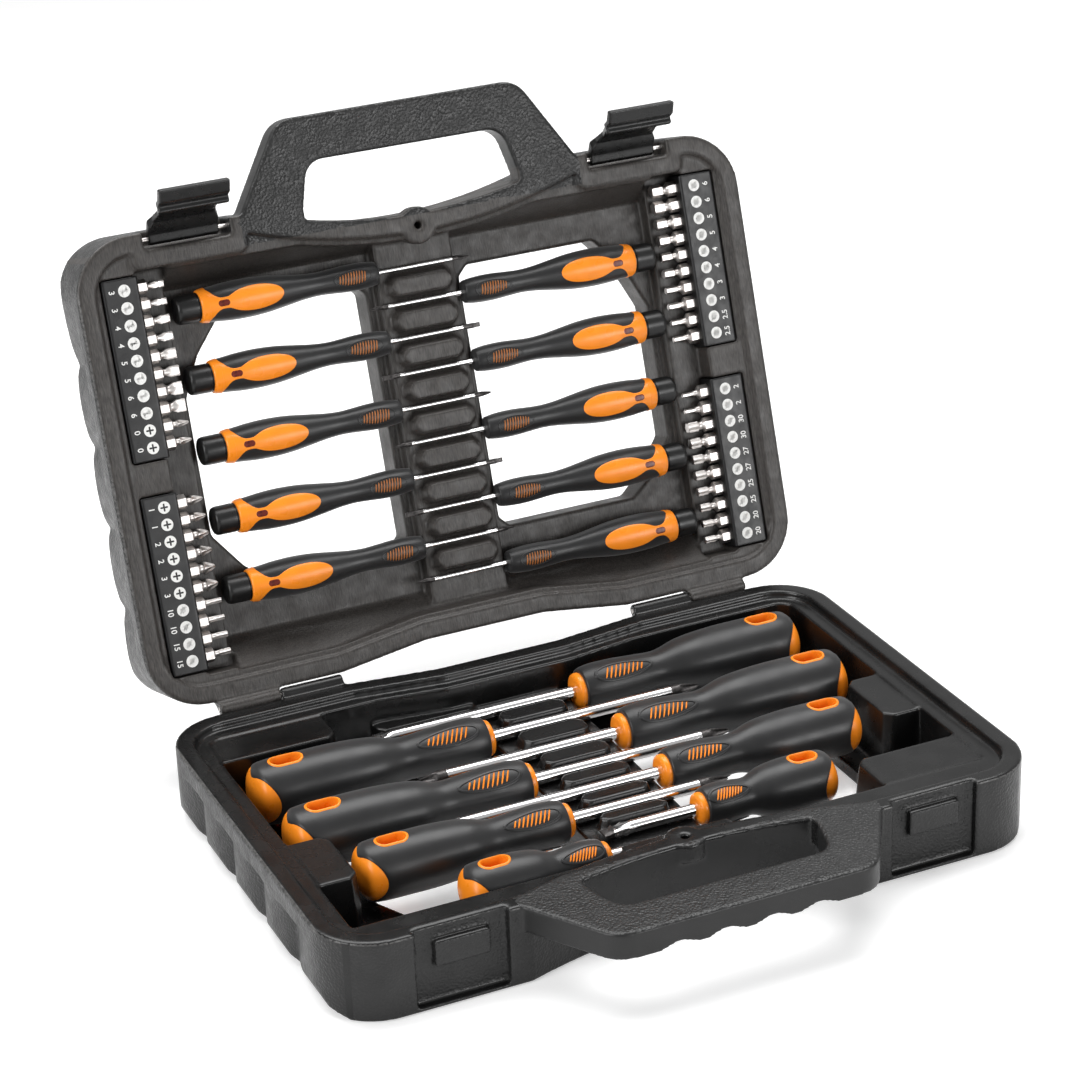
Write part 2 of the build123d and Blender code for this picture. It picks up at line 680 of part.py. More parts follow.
os.makedirs("parts", exist_ok=True)
save_case()
save_bits()
save_lid_drivers()
save_base_drivers()
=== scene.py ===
"""Looks for the hard tool case: moulded shells, two-colour grips, chrome blades, bits and print."""
import json
from math import cos, pi, radians, sin, sqrt

import bmesh
import bpy
import numpy as np
from mathutils import Matrix, Vector


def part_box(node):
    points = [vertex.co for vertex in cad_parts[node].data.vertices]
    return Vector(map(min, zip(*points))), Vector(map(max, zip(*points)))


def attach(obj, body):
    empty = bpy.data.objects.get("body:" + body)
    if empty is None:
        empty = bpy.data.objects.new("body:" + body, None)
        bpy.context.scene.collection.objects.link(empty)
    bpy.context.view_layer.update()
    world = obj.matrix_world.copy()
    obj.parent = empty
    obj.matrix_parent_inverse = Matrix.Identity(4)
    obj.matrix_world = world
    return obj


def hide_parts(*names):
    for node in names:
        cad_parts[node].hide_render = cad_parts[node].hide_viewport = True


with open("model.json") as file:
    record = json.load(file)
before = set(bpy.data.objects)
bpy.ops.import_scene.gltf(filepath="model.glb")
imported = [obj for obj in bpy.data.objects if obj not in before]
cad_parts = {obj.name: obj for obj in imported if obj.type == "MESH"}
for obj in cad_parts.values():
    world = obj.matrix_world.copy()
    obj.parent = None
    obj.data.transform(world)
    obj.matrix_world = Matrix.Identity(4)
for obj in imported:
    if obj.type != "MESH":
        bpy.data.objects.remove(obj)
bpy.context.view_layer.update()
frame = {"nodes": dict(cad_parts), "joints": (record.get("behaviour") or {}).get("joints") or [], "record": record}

MM = 0.001
BODIES = frame["record"]["behaviour"]["bodies"]
BODY_OF = {node: body for body, nodes in BODIES.items() for node in nodes}
JOINTS = {joint["name"]: joint for joint in frame["joints"]}
SIDES = ("left", "right")


# ---- frames


def axes(origin, x_axis, z_axis):
    """A placement matrix from its origin and its x and z directions."""
    x, z = Vector(x_axis).normalized(), Vector(z_axis).normalized()
    y = z.cross(x)
    matrix = Matrix((x, y, z)).transposed().to_4x4()
    matrix.translation = Vector(origin)
    return matrix


HINGE = Vector(JOINTS["lid_hinge"]["pos_m"])
OPEN = -radians(JOINTS["lid_hinge"]["range_deg"][0])
LID_OUT = Vector((0, -sin(OPEN), -cos(OPEN)))
BASE_OUT = Vector((0, 0, 1))
# Tray frames: x across, y from the hinge to the handle, z out of the tray.
LID = axes(HINGE, (1, 0, 0), LID_OUT)
BASE = axes(HINGE, (-1, 0, 0), BASE_OUT)


def tool_frame(node, side, out):
    """A frame on a driver's axis: x from its butt to its tip, z out of the tray."""
    low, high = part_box(node)
    middle = (low + high) / 2
    if side == "left":
        return axes((low.x, middle.y, middle.z), (1, 0, 0), out)
    return axes((high.x, middle.y, middle.z), (-1, 0, 0), out)


# ---- mesh helpers


def new_object(name, verts, faces, smooth=True):
    """A mesh object from points in millimetres in a piece's own frame."""
    mesh = bpy.data.meshes.new(name)
    mesh.from_pydata([Vector(v) * MM for v in verts], [], faces)
    mesh.validate()
    mesh.update()
    for polygon in mesh.polygons:
        polygon.use_smooth = smooth
    obj = bpy.data.objects.new(name, mesh)
    bpy.context.scene.collection.objects.link(obj)
    return obj


def lofted(rings, capped=True, looped=False):
    """Points and faces of a skin through rings with equal numbers of points.

    It ends in caps, or in open rings, or goes on from its last ring to its first.
    """
    verts, faces, n = [], [], len(rings[0])
    for points in rings:
        verts.extend(points)
    for level in range(len(rings) if looped else len(rings) - 1):
        a, b = level * n, (level + 1) % len(rings) * n
        for k in range(n):
            m = (k + 1) % n
            faces.append((a + k, a + m, b + m, b + k))
    if capped:
        faces.append(tuple(reversed(range(n))))
        faces.append(tuple(range(len(verts) - n, len(verts))))
    return verts, faces


def merged(parts):
    """Several (points, faces) pairs as one."""
    verts, faces = [], []
    for more_verts, more_faces in parts:
        shift = len(verts)
        verts.extend(more_verts)
        faces.extend(tuple(i + shift for i in face) for face in more_faces)
    return verts, faces


def run_modifiers(obj):
    """Applies an object's modifiers to its mesh."""
    graph = bpy.context.evaluated_depsgraph_get()
    mesh = bpy.data.meshes.new_from_object(obj.evaluated_get(graph))
    obj.modifiers.clear()
    obj.data = mesh
    return obj


def outward(obj):
    """Turns all faces to point out of the piece."""
    shape = bmesh.new()
    shape.from_mesh(obj.data)
    bmesh.ops.recalc_face_normals(shape, faces=shape.faces)
    shape.to_mesh(obj.data)
    shape.free()
    return obj


def weighted_normals(obj, keep_sharp):
    """Shades each point mostly as its larger faces."""
    normals = obj.modifiers.new("normals", "WEIGHTED_NORMAL")
    normals.keep_sharp = keep_sharp
    return run_modifiers(obj)


def even_shading(obj, angle=50):
    """Keeps flats flat and rounds smooth, with sharp edges only past the given angle."""
    obj.data.set_sharp_from_angle(angle=radians(angle))
    return weighted_normals(obj, keep_sharp=True)


def cut_with(obj, cutter):
    """Takes a closed cutter out of a closed piece, and removes the cutter."""
    cut = obj.modifiers.new("cut", "BOOLEAN")
    cut.operation, cut.solver, cut.object = "DIFFERENCE", "EXACT", cutter
    run_modifiers(obj)
    bpy.data.objects.remove(cutter)


def set_material(obj, *materials):
    """Gives a piece these materials and no others."""
    obj.data.materials.clear()
    for one in materials:
        obj.data.materials.append(one)
    return obj


def put(obj, node, place, replaces=False):
    """Places a piece on the body of a CAD node, and lets it stand for that node if asked."""
    obj.matrix_world = place
    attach(obj, BODY_OF[node])
    if replaces:
        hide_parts(node)


def copy_of(obj, name):
    """A second object that shares a mesh."""
    twin = bpy.data.objects.new(name, obj.data)
    bpy.context.scene.collection.objects.link(twin)
    return twin


# ---- materials


class Shader:
    """A principled material with a few procedural layers."""

    def __init__(self, name, color, rough, metallic=0.0, specular=0.36):
        self.material = bpy.data.materials.new(name)
        self.material.use_nodes = True
        self.nodes = self.material.node_tree.nodes
        self.links = self.material.node_tree.links
        self.base = self.nodes["Principled BSDF"]
        self.base.inputs["Base Color"].default_value = (*color, 1)
        self.base.inputs["Roughness"].default_value = rough
        self.base.inputs["Metallic"].default_value = metallic
        self.base.inputs["Specular IOR Level"].default_value = specular
        self.color, self.rough, self.normal = color, rough, None
        self.coordinates = self.nodes.new("ShaderNodeTexCoord").outputs["Object"]

    def mapped(self, stretch):
        """Object coordinates, longer along the axes with a larger stretch."""
        node = self.nodes.new("ShaderNodeMapping")
        node.inputs["Scale"].default_value = [1 / s for s in stretch]
        self.links.new(self.coordinates, node.inputs["Vector"])
        return node.outputs["Vector"]

    def noise(self, size_mm, detail=3.0, stretch=(1, 1, 1)):
        """Noise whose features are about this many millimetres across."""
        node = self.nodes.new("ShaderNodeTexNoise")
        node.inputs["Scale"].default_value = 1 / (size_mm * MM)
        node.inputs["Detail"].default_value = detail
        self.links.new(self.mapped(stretch), node.inputs["Vector"])
        return node.outputs["Fac"]

    def pebbles(self, size_mm):
        """Rounded cells, as in a moulded leather grain."""
        node = self.nodes.new("ShaderNodeTexVoronoi")
        node.feature = "SMOOTH_F1"
        node.inputs["Scale"].default_value = 1 / (size_mm * MM)
        node.inputs["Smoothness"].default_value = 0.6
        self.links.new(self.coordinates, node.inputs["Vector"])
        return node.outputs["Distance"]

    def ramp(self, value, low, high):
        """A value from 0 to 1 mapped to a range."""
        node = self.nodes.new("ShaderNodeMapRange")
        node.inputs["From Min"].default_value = 0.3
        node.inputs["From Max"].default_value = 0.7
        node.inputs["To Min"].default_value = low
        node.inputs["To Max"].default_value = high
        self.links.new(value, node.inputs["Value"])
        return node.outputs["Result"]

    def bump(self, height, depth_mm, strength):
        """Adds a bump layer on top of those before it."""
        node = self.nodes.new("ShaderNodeBump")
        node.inputs["Distance"].default_value = depth_mm * MM
        node.inputs["Strength"].default_value = strength
        self.links.new(height, node.inputs["Height"])
        if self.normal is not None:
            self.links.new(self.normal, node.inputs["Normal"])
        self.normal = node.outputs["Normal"]
        self.links.new(self.normal, self.base.inputs["Normal"])

    def vary_rough(self, value, spread):
        """Lets the roughness wander by this much either way."""
        rough = self.ramp(value, self.rough - spread, self.rough + spread)
        self.links.new(rough, self.base.inputs["Roughness"])

    def vary_color(self, value, low, high):
        """Mixes the colour between two brightness factors, and gives the finished material."""
        node = self.nodes.new("ShaderNodeMix")
        node.data_type = "RGBA"
        node.inputs[6].default_value = (*[c * low for c in self.color], 1)
        node.inputs[7].default_value = (*[c * high for c in self.color], 1)
        self.links.new(self.ramp(value, 0, 1), node.inputs[0])
        self.links.new(node.outputs[2], self.base.inputs["Base Color"])
        return self.material


def pebble_black():
    """Outside of the case: black with a pebble grain and paler crests."""
    s = Shader("pebble_black", (0.013, 0.013, 0.013), 0.36)
    s.bump(s.pebbles(1.15), 0.5, 0.55)
    s.bump(s.noise(0.5), 0.06, 0.5)
    s.vary_rough(s.noise(6.0), 0.08)
    return s.vary_color(s.noise(14.0), 0.8, 1.25)


def fine_black():
    """Flat parts of the outside: the same black with a fine grain."""
    s = Shader("fine_black", (0.012, 0.012, 0.012), 0.36)
    s.bump(s.noise(0.55, 4.0), 0.12, 0.5)
    s.vary_rough(s.noise(8.0), 0.07)
    return s.vary_color(s.noise(20.0), 0.85, 1.2)


def base_inside():
    """Inside of the base: smoother and glossier black."""
    s = Shader("base_inside", (0.006, 0.006, 0.006), 0.26)
    s.bump(s.noise(0.45, 3.0), 0.05, 0.35)
    s.bump(s.noise(9.0, 1.0), 0.5, 0.15)
    s.vary_rough(s.noise(12.0), 0.06)
    return s.vary_color(s.noise(25.0), 0.85, 1.2)


def lid_inside():
    """Inside of the lid: dull warm grey-black with faint lengthwise streaks."""
    s = Shader("lid_inside", (0.036, 0.0325, 0.03), 0.42)
    streaks = s.noise(0.6, 5.0, (1, 6, 1))
    s.bump(streaks, 0.12, 0.6)
    s.bump(s.noise(0.35), 0.05, 0.5)
    s.vary_rough(s.noise(7.0), 0.08)
    return s.vary_color(streaks, 0.45, 1.6)


# The paler rim edges are partly wear and partly a painted highlight along the edges.
def worn_and_highlit_edge():
    """Rim edges painted a little paler: partly rubbed wear, partly painted highlight where light catches the
    edges.
    """
    s = Shader("worn_and_highlit_edge", (0.05, 0.049, 0.048), 0.34)
    s.bump(s.noise(0.4), 0.08, 0.5)
    s.vary_rough(s.noise(2.0), 0.1)
    return s.vary_color(s.noise(1.6, 4.0), 0.35, 2.2)


def soft_black():
    """Grips: soft matt black."""
    s = Shader("soft_black", (0.01, 0.01, 0.0105), 0.36)
    s.bump(s.noise(0.3, 2.0), 0.02, 0.4)
    s.vary_rough(s.noise(10.0), 0.05)
    s.base.inputs["Sheen Weight"].default_value = 0.15
    s.base.inputs["Sheen Roughness"].default_value = 0.5
    return s.vary_color(s.noise(16.0), 0.85, 1.15)


def orange_plastic():
    """Grip cores: glossy orange."""
    s = Shader("orange_plastic", (1.0, 0.285, 0.016), 0.3)
    s.bump(s.noise(0.6, 2.0), 0.02, 0.3)
    s.vary_rough(s.noise(8.0), 0.05)
    return s.vary_color(s.noise(9.0), 0.9, 1.0)


def brown_orange():
    """Ribs of the slim grips: duller orange showing through the black."""
    s = Shader("brown_orange", (0.36, 0.125, 0.03), 0.4)
    s.bump(s.noise(0.4), 0.03, 0.4)
    s.vary_rough(s.noise(3.0), 0.06)
    return s.vary_color(s.noise(1.5), 0.7, 1.25)


def painted_slot_shade():
    """The glossy dark red in the neck of a slim grip's patch: painted shade standing in for the inside of a slot.
    """
    s = Shader("painted_slot_shade", (0.11, 0.012, 0.006), 0.18)
    s.bump(s.noise(0.8), 0.01, 0.3)
    s.vary_rough(s.noise(1.0), 0.05)
    return s.vary_color(s.noise(1.2), 0.5, 1.5)


def cap_black():
    """Turning caps of the slim drivers: satin black."""
    s = Shader("cap_black", (0.007, 0.007, 0.007), 0.32)
    s.bump(s.noise(0.35), 0.02, 0.4)
    s.vary_rough(s.noise(5.0), 0.05)
    return s.vary_color(s.noise(10.0), 0.85, 1.2)


def holder_black():
    """Bit holders: satin black, under the print."""
    s = Shader("holder_black", (0.0045, 0.0045, 0.005), 0.36)
    s.bump(s.noise(0.4), 0.03, 0.4)
    s.vary_rough(s.noise(4.0), 0.06)
    return s.vary_color(s.noise(8.0), 0.8, 1.2)


def latch_black():
    """Latches: satin black with faint streaks."""
    s = Shader("latch_black", (0.008, 0.008, 0.008), 0.3)
    s.bump(s.noise(0.5, 4.0, (4, 1, 1)), 0.06, 0.4)
    s.vary_rough(s.noise(5.0), 0.07)
    return s.vary_color(s.noise(6.0), 0.8, 1.4)


def white_print():
    """Printed marks and numbers."""
    s = Shader("white_print", (0.82, 0.82, 0.8), 0.5)
    s.bump(s.noise(0.2), 0.01, 0.3)
    return s.vary_color(s.noise(0.8), 0.9, 1.0)


def chrome():
    """Polished shafts with very faint long waves."""
    s = Shader("chrome", (0.72, 0.71, 0.71), 0.14, metallic=1.0)
    s.bump(s.noise(2.5, 2.0, (6, 1, 1)), 0.004, 0.3)
    s.vary_rough(s.noise(4.0, 2.0, (4, 1, 1)), 0.03)
    return s.vary_color(s.noise(6.0), 0.92, 1.0)


def dark_tip():
    """Blackened, slightly rough driving tips."""
    s = Shader("dark_tip", (0.06, 0.056, 0.055), 0.36, metallic=0.7)
    s.bump(s.noise(0.3), 0.03, 0.5)
    s.vary_rough(s.noise(1.5), 0.08)
    return s.vary_color(s.noise(1.2), 0.6, 1.5)


def satin_steel():
    """Bits and pins: dull nickel-grey steel."""
    s = Shader("satin_steel", (0.6, 0.57, 0.55), 0.36, metallic=1.0)
    s.bump(s.noise(0.3, 3.0, (3, 1, 1)), 0.02, 0.4)
    s.vary_rough(s.noise(1.5), 0.07)
    return s.vary_color(s.noise(2.5), 0.8, 1.1)


def strength_by_ray(nodes, links, flag, others, flagged):
    """A strength with one value for the rays of a kind, and another for all others."""
    node = nodes.new("ShaderNodeMapRange")
    node.inputs["To Min"].default_value = others
    node.inputs["To Max"].default_value = flagged
    links.new(flag, node.inputs["Value"])
    return node.outputs["Result"]


FLOOR_COLOR = (0.8, 0.8, 0.8, 1)
FLOOR_GLOW_SEEN = 0.4
FLOOR_GLOW_ELSE = 0.2


def floor_white():
    """Pale floor with a faint glow, which is twice as strong for the eye as for other rays."""
    material = bpy.data.materials.new("floor_white")
    material.use_nodes = True
    nodes, links = material.node_tree.nodes, material.node_tree.links
    nodes.clear()
    diffuse, glow = nodes.new("ShaderNodeBsdfDiffuse"), nodes.new("ShaderNodeEmission")
    add, out = nodes.new("ShaderNodeAddShader"), nodes.new("ShaderNodeOutputMaterial")
    diffuse.inputs["Color"].default_value = FLOOR_COLOR
    seen = nodes.new("ShaderNodeLightPath").outputs["Is Camera Ray"]
    strength = strength_by_ray(nodes, links, seen, FLOOR_GLOW_ELSE, FLOOR_GLOW_SEEN)
    links.new(strength, glow.inputs["Strength"])
    links.new(diffuse.outputs[0], add.inputs[0])
    links.new(glow.outputs[0], add.inputs[1])
    links.new(add.outputs[0], out.inputs["Surface"])
    return material


PEBBLE = pebble_black()
FINE = fine_black()
INSIDE_BASE = base_inside()
INSIDE_LID = lid_inside()
EDGE = worn_and_highlit_edge()
GRIP = soft_black()
ORANGE = orange_plastic()
BROWN = brown_orange()
SLOT_SHADE = painted_slot_shade()
CAP = cap_black()
HOLDER = holder_black()
LATCH = latch_black()
WHITE = white_print()
CHROME = chrome()
TIP = dark_tip()
STEEL = satin_steel()


# ---- shells and latches


FACES_KEPT = 0.35  # the share of the remeshed faces that stays


def moulded(node, place, voxel_mm, passes):
    """A CAD solid as a moulding: remeshed in its tray's frame, with every edge softly rounded."""
    mesh = frame["nodes"][node].data.copy()
    mesh.transform(place.inverted())
    obj = bpy.data.objects.new(f"{node}_moulding", mesh)
    bpy.context.scene.collection.objects.link(obj)
    remesh = obj.modifiers.new("remesh", "REMESH")
    remesh.mode = "VOXEL"
    remesh.voxel_size = voxel_mm * MM * 1
    soften = obj.modifiers.new("soften", "SMOOTH")
    soften.factor, soften.iterations = 0.5, passes
    thin = obj.modifiers.new("thin", "DECIMATE")
    thin.decimate_type, thin.ratio = "COLLAPSE", FACES_KEPT
    run_modifiers(obj)
    for polygon in obj.data.polygons:
        polygon.use_smooth = True
    return weighted_normals(obj, keep_sharp=False)


# A shell in its tray's frame, in millimetres: the rim is at z = 0, and the floor's outer face below.
TRAY_DEPTH = 224.5
WALL_BAND = 7.0
HINGE_WALL_BAND = 9.0
HANDLE_ROOT = 14.0
HANDLE_HALF_WIDTH = 87.0
HANDLE_BOTTOM = -13.5
OUTER_FLOOR = -37.5
WEAR_AND_HIGHLIGHT_TO = -1.1  # how far down the outer walls the paler edge reaches, partly wear and partly painted highlight
RIM_TOP = -0.9
RIM_WIDTH = 1.2
# How far a face's normal leans before the face counts as looking that way.
LEANING = 0.35
HALF_UP = 0.5
FLAT_UP = 0.7
PEBBLE_ZONE, FINE_ZONE, INSIDE_ZONE, EDGE_ZONE = range(4)


def shell_zone(centre, normal, half_width):
    """Which of a shell's four materials a face gets, from where it lies and where it looks."""
    x, y, z = (c / MM for c in centre)
    side = half_width - abs(x)
    front = y > TRAY_DEPTH - HANDLE_ROOT and abs(x) < HANDLE_HALF_WIDTH and z > HANDLE_BOTTOM
    if front and (y > TRAY_DEPTH - 1 or normal.z > HALF_UP):
        return PEBBLE_ZONE if normal.z > FLAT_UP else FINE_ZONE
    if z < OUTER_FLOOR:
        return FINE_ZONE
    outside = side < WALL_BAND or y > TRAY_DEPTH - WALL_BAND or y < HINGE_WALL_BAND
    sideways = normal.x * x > 0 and abs(normal.x) > LEANING
    endways = normal.y * (y - TRAY_DEPTH / 2) > 0 and abs(normal.y) > LEANING
    # The top band of the outer walls gets the paler edge: partly wear, partly painted highlight.
    if outside and (sideways or endways) and normal.z < HALF_UP:
        return EDGE_ZONE if z > WEAR_AND_HIGHLIGHT_TO else PEBBLE_ZONE
    if outside and normal.z < -LEANING:
        return PEBBLE_ZONE
    # The rim's top also gets the paler edge: partly wear, partly painted highlight.
    if z > RIM_TOP and side < RIM_WIDTH:
        return EDGE_ZONE
    return INSIDE_ZONE


def shells():
    """The base and the lid, each with its grains, its inside and its paler rim, which is partly wear and partly
    painted highlight.
    """
    half_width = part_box("base_shell")[1].x / MM
    for node, place, inside in (("base_shell", BASE, INSIDE_BASE), ("lid_shell", LID, INSIDE_LID)):
        obj = moulded(node, place, 0.9, 4)
        set_material(obj, PEBBLE, FINE, inside, EDGE)
        for polygon in obj.data.polygons:
            polygon.material_index = shell_zone(polygon.center, polygon.normal, half_width)
        put(obj, node, place, replaces=True)


def latches():
    """The two latches, with softly rounded edges."""
    for side in SIDES:
        obj = moulded(f"latch_{side}", LID, 0.45, 3)
        set_material(obj, LATCH)
        put(obj, f"latch_{side}", LID, replaces=True)


def pins():
    """The pins stay as the CAD has them, and only get their steel."""
    for node in ("hinge_pins", "latch_pins"):
        set_material(frame["nodes"][node], STEEL)


# ---- turned surfaces


def profile(sections):
    """A smooth radius over x, through (x, radius) sections."""
    xs = np.array([x for x, _ in sections], float)
    rs = np.array([r for _, r in sections], float)
    slopes = np.gradient(rs, xs)

    def radius(x):
        i = int(np.clip(np.searchsorted(xs, x) - 1, 0, len(xs) - 2))
        h = xs[i + 1] - xs[i]
        t = min(max((x - xs[i]) / h, 0.0), 1.0)
        start = (1 + 2 * t) * (1 - t) ** 2 * rs[i] + t * (1 - t) ** 2 * h * slopes[i]
        return start + t * t * (3 - 2 * t) * rs[i + 1] + t * t * (t - 1) * h * slopes[i + 1]

    return radius


def ring(x, radius, n):
    """A circle round the x axis, starting at the top."""
    return [(x, radius * sin(2 * pi * k / n), radius * cos(2 * pi * k / n)) for k in range(n)]


def on_surface(radius, x, arc, angle, lift):
    """The point at x and at an arc length round from the given angle, lifted off a turned surface."""
    r = radius(x)
    turn = angle + arc / r
    return (x, (r + lift) * sin(turn), (r + lift) * cos(turn))


def oval_width(u, blunt):
    """Half width, as a share, of an oval that is blunter at its far end."""
    return sqrt(max(0.0, 1 - u * u)) * (1 - blunt + blunt * u)


BORDER_STEPS = 40
RIDGE_FOOT = -0.3  # how deep a ridge's foot sinks into the surface


def oval_border(radius, centre, half_length, half_width, angle, blunt, lift, width):
    """A raised ridge round an oval on a turned surface."""
    ridge = ((-1, RIDGE_FOOT), (-0.6, lift * 0.8), (0, lift), (0.6, lift * 0.8), (1, RIDGE_FOOT))
    rings = []
    for k in range(BORDER_STEPS):
        turn = 2 * pi * k / BORDER_STEPS
        u, side = cos(turn), 1 if sin(turn) >= 0 else -1
        x = centre + half_length * u
        arc = side * half_width * oval_width(u, blunt)
        grow_x, grow_arc = width * u / 2, width * sin(turn) / 2
        section = []
        for share, height in ridge:
            section.append(on_surface(radius, x + grow_x * share, arc + grow_arc * share, angle, height))
        rings.append(section)
    return lofted(rings, capped=False, looped=True)


RIB_STEPS = 8
RIB_SIDES = 8


def rib(radius, x, half_arc, angle, slant, lift, width):
    """A slanted, round-ended rib across a turned surface."""
    rings = []
    for k in range(RIB_STEPS + 1):
        t = -1 + 2 * k / RIB_STEPS
        arc, shift = half_arc * t, slant * half_arc * t
        round_end = sqrt(max(0.05, 1 - abs(t) ** 6))
        section = []
        for j in range(RIB_SIDES):
            turn = 2 * pi * j / RIB_SIDES
            along = x + shift + width / 2 * round_end * cos(turn)
            section.append(on_surface(radius, along, arc, angle, lift * round_end * sin(turn)))
        rings.append(section)
    return lofted(rings)


FIELD_FROM, FIELD_SPAN = -0.86, 1.66  # where the ribs lie, as shares of an oval's half length
FIELD_REACH = 0.94
RIB_REACH = 0.86  # how much of the oval's width a rib takes


def rib_field(radius, centre, half_length, half_width, angle, count, slant, blunt, lift, width):
    """The ribs inside an oval."""
    parts = []
    for k in range(count):
        u = FIELD_FROM + FIELD_SPAN * (k + 0.5) / count
        half_arc = half_width * oval_width(u, blunt) * RIB_REACH
        if half_arc > width * 0.6:
            x = centre + half_length * u * FIELD_REACH
            parts.append(rib(radius, x, half_arc, angle, slant, lift, width))
    return merged(parts)


# ---- screwdrivers

SLEEVE_THICK = 0.5
ROUND = 72
BUTT_DOME = 7.0
COLLAR_LENGTH = 3.5


def driver_profile(length, radius):
    """The radius of a large grip along its length, from the butt through the waist to the front."""
    front, waist = radius * 0.76, radius * 0.67
    return profile(
        [
            (0, radius * 0.9),
            (10, radius * 0.985),
            (length * 0.22, radius),
            (length * 0.38, radius * 0.985),
            (length * 0.52, radius * 0.88),
            (length * 0.63, waist),
            (length * 0.72, waist * 1.05),
            (length * 0.84, front),
            (length - 6, front * 0.95),
            (length - COLLAR_LENGTH, front * 0.9),
        ]
    )


def domed(radius, x):
    """The radius with a rounded butt over its first stretch."""
    if x >= BUTT_DOME:
        return radius(x)
    return radius(x) * sqrt(max(0.0, 1 - ((BUTT_DOME - x) / BUTT_DOME) ** 2.6))


def sleeve_edge(turn):
    """Where the black sleeve begins: near the butt above and below, further in at the sides."""
    return 1.6 + 8.5 * sin(turn) ** 2


SLEEVE_STEPS = 46


def driver_sleeve(length, radius_at):
    """The black sleeve of a large grip, from its curved edge at the butt to its rounded front."""
    end = length - COLLAR_LENGTH
    # Shares of the way from the edge to the front, and how deep the skin lies there below its full radius.
    levels = [(0.0, SLEEVE_THICK + 0.5), (0.004, 0.25), (0.012, 0.06), (0.03, 0.0)]
    levels += [(0.06 + 0.92 * k / SLEEVE_STEPS, 0.0) for k in range(SLEEVE_STEPS + 1)]
    rings = []
    for level, sink in levels:
        points = []
        for k in range(ROUND):
            turn = 2 * pi * k / ROUND
            start = sleeve_edge(turn)
            x = start + level * (end - start)
            r = domed(radius_at, x) - sink
            points.append((x, r * sin(turn), r * cos(turn)))
        rings.append(points)
    front = radius_at(end)
    for ahead, below in ((-0.6, 0), (-0.1, 0.35), (0.1, 1.0), (0, 2.4), (-1, 3.4)):
        rings.append(ring(end + ahead, front - below, ROUND))
    return lofted(rings)


def driver_core(length, radius_at):
    """The orange core: domed butt, and the collar at the front."""
    end = length - COLLAR_LENGTH
    stations = [0.02 + BUTT_DOME * (1 - cos(pi / 2 * k / 10)) for k in range(11)]
    stations += [BUTT_DOME + (end - BUTT_DOME) * k / 24 for k in range(1, 24)]
    rings = [ring(x, max(0.3, domed(radius_at, x) - SLEEVE_THICK), ROUND) for x in stations]
    collar = radius_at(end) * 0.83
    back = ((end - 0.5, 0.96), (end + 0.4, 1), (end + 1.9, 0.995))
    front = ((length - 0.7, 0.94), (length - 0.1, 0.8), (length, 0.6))
    for x, share in (*back, *front):
        rings.append(ring(x, collar * share, ROUND))
    return lofted(rings)


def stadium(half_length, half_width, n=36):
    """Points round a long hole, in x and y."""
    points, straight = [], half_length - half_width
    for k in range(n):
        turn = 2 * pi * k / n
        shift = straight if cos(turn) >= 0 else -straight
        points.append((shift + half_width * cos(turn), half_width * sin(turn)))
    return points


def hole_liner(radius_at, centre, half_length, half_width):
    """The raised rim and the wall of the hanging hole."""
    # How far the rim's rings lie outside the hole, and above the grip.
    levels = [(1.35, -0.35), (1.2, 0.22), (0.7, 0.45), (0.2, 0.3), (0, -0.3), (-0.15, -2.0)]
    rings = []
    for sign in (1, -1):
        part = []
        for grow, lift in levels:
            points = []
            for x, y in stadium(half_length + grow, half_width + grow):
                r = radius_at(min(centre + x, centre + half_length + 2)) + lift
                points.append((centre + x, y, sign * sqrt(max(1.0, r * r - y * y))))
            part.append(points)
        rings += part if sign > 0 else part[::-1]
    return lofted(rings, capped=False)


def hole_cutter(centre, half_length, half_width, reach):
    """A long plug that reaches this far above and below the grip's axis."""
    outline = stadium(half_length, half_width)
    rings = [[(centre + x, y, z) for x, y in outline] for z in (-reach, reach)]
    return new_object("cutter", *lofted(rings))


SCREWDRIVERS = range(1, 5)
FACET_SWELL = 1.0251  # a CAD grip's facets reach this many times its round radius
RIB_ROLL = {"left": -0.6, "right": 0.6}  # how far the rib ovals are turned about the grip


def large_grips():
    """Two-colour grips, one mesh for each side and length."""
    made = {}
    for side in SIDES:
        for number in SCREWDRIVERS:
            name = f"screwdriver_{side}_{number}"
            node = f"{name}_grip"
            low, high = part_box(node)
            length = round((high.x - low.x) / MM, 1)
            radius = round((high.y - low.y) / MM / 2 / FACET_SWELL, 1)
            place = tool_frame(node, side, BASE_OUT)
            key = (side, length)
            if key not in made:
                made[key] = large_grip(length, radius, RIB_ROLL[side])
            sleeve, core = made[key]
            put(copy_of(sleeve, f"{name}_sleeve"), node, place, replaces=True)
            put(copy_of(core, f"{name}_core"), node, place)
    for pair in made.values():
        for one in pair:
            bpy.data.objects.remove(one)


# The hanging hole's half length and half width, in a grip of this radius.
HOLE_HALF_LENGTH, HOLE_HALF_WIDTH, HOLE_GRIP_RADIUS = 7.2, 3.8, 15.2
HOLE_MARGIN = 0.4
RIBS_IN_OVAL = 9


